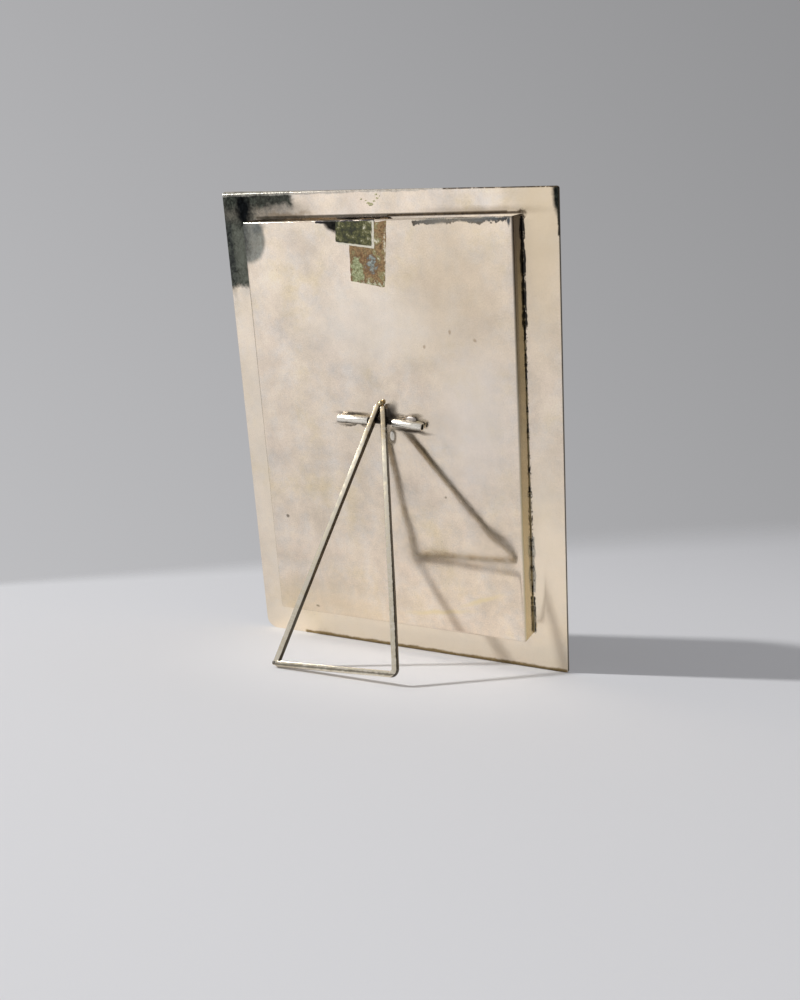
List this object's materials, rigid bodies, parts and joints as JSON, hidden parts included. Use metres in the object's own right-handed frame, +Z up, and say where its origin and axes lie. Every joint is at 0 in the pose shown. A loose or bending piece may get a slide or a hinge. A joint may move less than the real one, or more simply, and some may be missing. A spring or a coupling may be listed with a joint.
{
  "type": "easel-backed picture frame",
  "caption": "Free-standing sheet-metal picture frame with a windowed front plate, a folded top-loading back pocket and a hinged square-wire easel stand.",
  "frame": {"origin": "on the table under the middle of the object's box, frame leaning back on its open stand", "axes": "+Z up, the picture faces -Y, the stand is on the +Y side, +X to the right of someone facing the picture"},
  "size_m": [0.133, 0.0706, 0.1701],
  "materials": {
    "plated_metal": "polished",
    "wire_metal": "satin",
    "solder": "satin",
    "braze": "satin",
    "clear_glass": "gloss",
    "print_paper": "satin",
    "grey_board": "matte"
  },
  "bodies": {
    "frame": {"front_plate": "plated_metal", "back_pan": "plated_metal", "seam_solder_left": "solder", "seam_solder_right": "solder", "seam_solder_bottom": "solder", "hinge_tube_left": "plated_metal", "hinge_tube_right": "plated_metal", "hinge_solder_left": "solder", "hinge_solder_right": "solder"},
    "stand": {"hinge_pin": "wire_metal", "stand_leg_left": "wire_metal", "stand_leg_right_and_foot": "wire_metal", "apex_braze": "braze", "corner_solder": "solder", "pin_solder_left": "solder", "pin_solder_right": "solder"},
    "glass": {"glass_pane": "clear_glass"},
    "print": {"photo_print": "print_paper"},
    "board": {"backing_board": "grey_board"}
  },
  "joints": [
    {"name": "stand_fold", "type": "hinge", "parent": "frame", "child": "stand", "pos_m": [0, 0.00284, 0.08919], "axis": [-1, 0, 0], "range_deg": [0, 34.5]},
    {"name": "glass_slide", "type": "slide", "parent": "frame", "child": "glass", "axis": [0, 0.2823, 0.9593], "range_m": [0, 0.154]},
    {"name": "print_slide", "type": "slide", "parent": "frame", "child": "print", "axis": [0, 0.2823, 0.9593], "range_m": [0, 0.154]},
    {"name": "board_slide", "type": "slide", "parent": "frame", "child": "board", "axis": [0, 0.2823, 0.9593], "range_m": [0, 0.154]}
  ]
}
